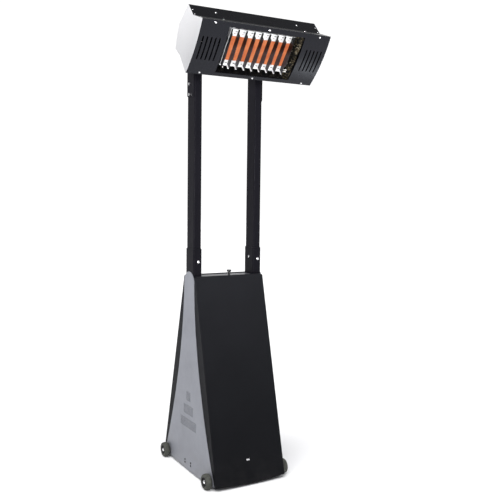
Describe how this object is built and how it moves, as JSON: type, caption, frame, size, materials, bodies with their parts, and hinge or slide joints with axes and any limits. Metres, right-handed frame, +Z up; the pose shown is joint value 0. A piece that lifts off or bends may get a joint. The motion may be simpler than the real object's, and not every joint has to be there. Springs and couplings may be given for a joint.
{
  "type": "outdoor patio heater",
  "caption": "Free-standing gas infrared patio heater: tapered wheeled base for the gas bottle, twin rectangular posts and a tilting ceramic-plaque burner head behind a slatted guard.",
  "frame": {"origin": "on the ground, under the middle of the whole heater's bounding box", "axes": "+Z up along the posts, the heated face looks towards -Y, +X to the right of a person who faces the heater"},
  "size_m": [0.6712, 0.726, 2.2256],
  "materials": {
    "grey_panel": "satin grey powder coat",
    "black_panel": "semi-gloss black powder coat",
    "black_post": "semi-gloss black powder coat",
    "light_plate": "satin light grey powder coat",
    "zinc": "bright zinc plate",
    "dark_bolt": "black oxide",
    "stainless": "satin stainless",
    "polished": "polished stainless",
    "galvanised": "galvanised",
    "heat_dark": "heat-tinted steel",
    "ceramic_glow": "glowing honeycomb plaque",
    "porcelain": "white glazed insulator",
    "brass": "machined",
    "copper_pipe": "grey coated steel pipe",
    "black_plastic": "moulded black",
    "red_plastic": "moulded red",
    "rubber": "moulded rubber",
    "hub_plastic": "moulded black",
    "chrome": "bright cap"
  },
  "bodies": {
    "base": {"base_tray": "galvanised", "side_panel_left": "grey_panel", "side_panel_right": "grey_panel", "rear_panel": "black_panel", "rear_panel_screws": "dark_bolt", "top_plate": "light_plate", "side_panel_bolts": "dark_bolt", "frame_channel_left": "galvanised", "frame_channel_right": "galvanised", "cross_shelf": "galvanised", "pole_sleeve_left": "black_post", "pole_sleeve_right": "black_post", "pole_left": "black_post", "pole_right": "black_post", "pole_bolts": "zinc", "pole_caps": "black_plastic", "head_bracket_left": "black_post", "head_bracket_right": "black_post", "tilt_pivot_bolts": "zinc", "hinge_pins": "zinc", "wheel_axles": "zinc", "axle_caps": "chrome", "control_plate": "black_plastic", "gas_valve": "brass", "igniter_module": "black_plastic", "tilt_switch": "black_plastic", "gas_riser_pipe": "copper_pipe"},
    "door": {"front_door": "black_panel", "door_lock_screws": "zinc"},
    "latch": {"latch_knob": "black_plastic", "latch_tongue": "zinc"},
    "wheel_front_left": {"tyre_front_left": "rubber", "wheel_hub_front_left": "hub_plastic"},
    "wheel_front_right": {"tyre_front_right": "rubber", "wheel_hub_front_right": "hub_plastic"},
    "wheel_rear_left": {"tyre_rear_left": "rubber", "wheel_hub_rear_left": "hub_plastic"},
    "wheel_rear_right": {"tyre_rear_right": "rubber", "wheel_hub_rear_right": "hub_plastic"},
    "valve_spindle": {"valve_spindle": "brass"},
    "control_knob": {"control_knob": "black_plastic"},
    "igniter_button": {"igniter_button": "red_plastic"},
    "head": {"fascia": "black_panel", "top_hood": "black_panel", "end_plate_left": "stainless", "end_plate_right": "stainless", "back_cover": "stainless", "reflector": "polished", "plaque_frame": "stainless", "ceramic_plaques": "ceramic_glow", "guard_strips": "heat_dark", "guard_feet": "stainless", "burner_plenum": "galvanised", "mixing_tube": "galvanised", "gas_injector": "brass", "spark_electrodes": "porcelain", "head_screws": "zinc", "head_ears": "black_post", "tilt_lock_bolts": "zinc", "gas_inlet_fitting": "brass"}
  },
  "joints": [
    {"name": "head_tilt", "type": "hinge", "parent": "base", "child": "head", "pos_m": [0, -0.059, 2.085], "axis": [1, 0, 0], "range_deg": [-30, 20]},
    {"name": "door_hinge", "type": "hinge", "parent": "base", "child": "door", "pos_m": [0, -0.228, 0.042], "axis": [1, 0, 0], "range_deg": [0, 75]},
    {"name": "latch_turn", "type": "hinge", "parent": "door", "child": "latch", "pos_m": [0, -0.0005, 0.99], "axis": [0, 0, 1], "range_deg": [0, 90]},
    {"name": "spindle_push", "type": "slide", "parent": "base", "child": "valve_spindle", "axis": [0, -0.9704, -0.2414], "range_m": [0, 0.003], "stiffness_N_per_m": 600, "springref_m": -0.002},
    {"name": "knob_turn", "type": "hinge", "parent": "valve_spindle", "child": "control_knob", "pos_m": [-0.024, 0.17367, 0.8229], "axis": [0, 0.9704, 0.2414], "range_deg": [0, 150]},
    {"name": "igniter_push", "type": "slide", "parent": "base", "child": "igniter_button", "axis": [0, -0.9704, -0.2414], "range_m": [0, 0.005], "stiffness_N_per_m": 400, "springref_m": -0.002},
    {"name": "wheel_spin_front_left", "type": "hinge", "parent": "base", "child": "wheel_front_left", "pos_m": [-0.212, -0.1895, 0.0375], "axis": [1, 0, 0], "continuous": true},
    {"name": "wheel_spin_front_right", "type": "hinge", "parent": "base", "child": "wheel_front_right", "pos_m": [0.212, -0.1895, 0.0375], "axis": [1, 0, 0], "continuous": true},
    {"name": "wheel_spin_rear_left", "type": "hinge", "parent": "base", "child": "wheel_rear_left", "pos_m": [-0.212, 0.3015, 0.0375], "axis": [1, 0, 0], "continuous": true},
    {"name": "wheel_spin_rear_right", "type": "hinge", "parent": "base", "child": "wheel_rear_right", "pos_m": [0.212, 0.3015, 0.0375], "axis": [1, 0, 0], "continuous": true}
  ]
}
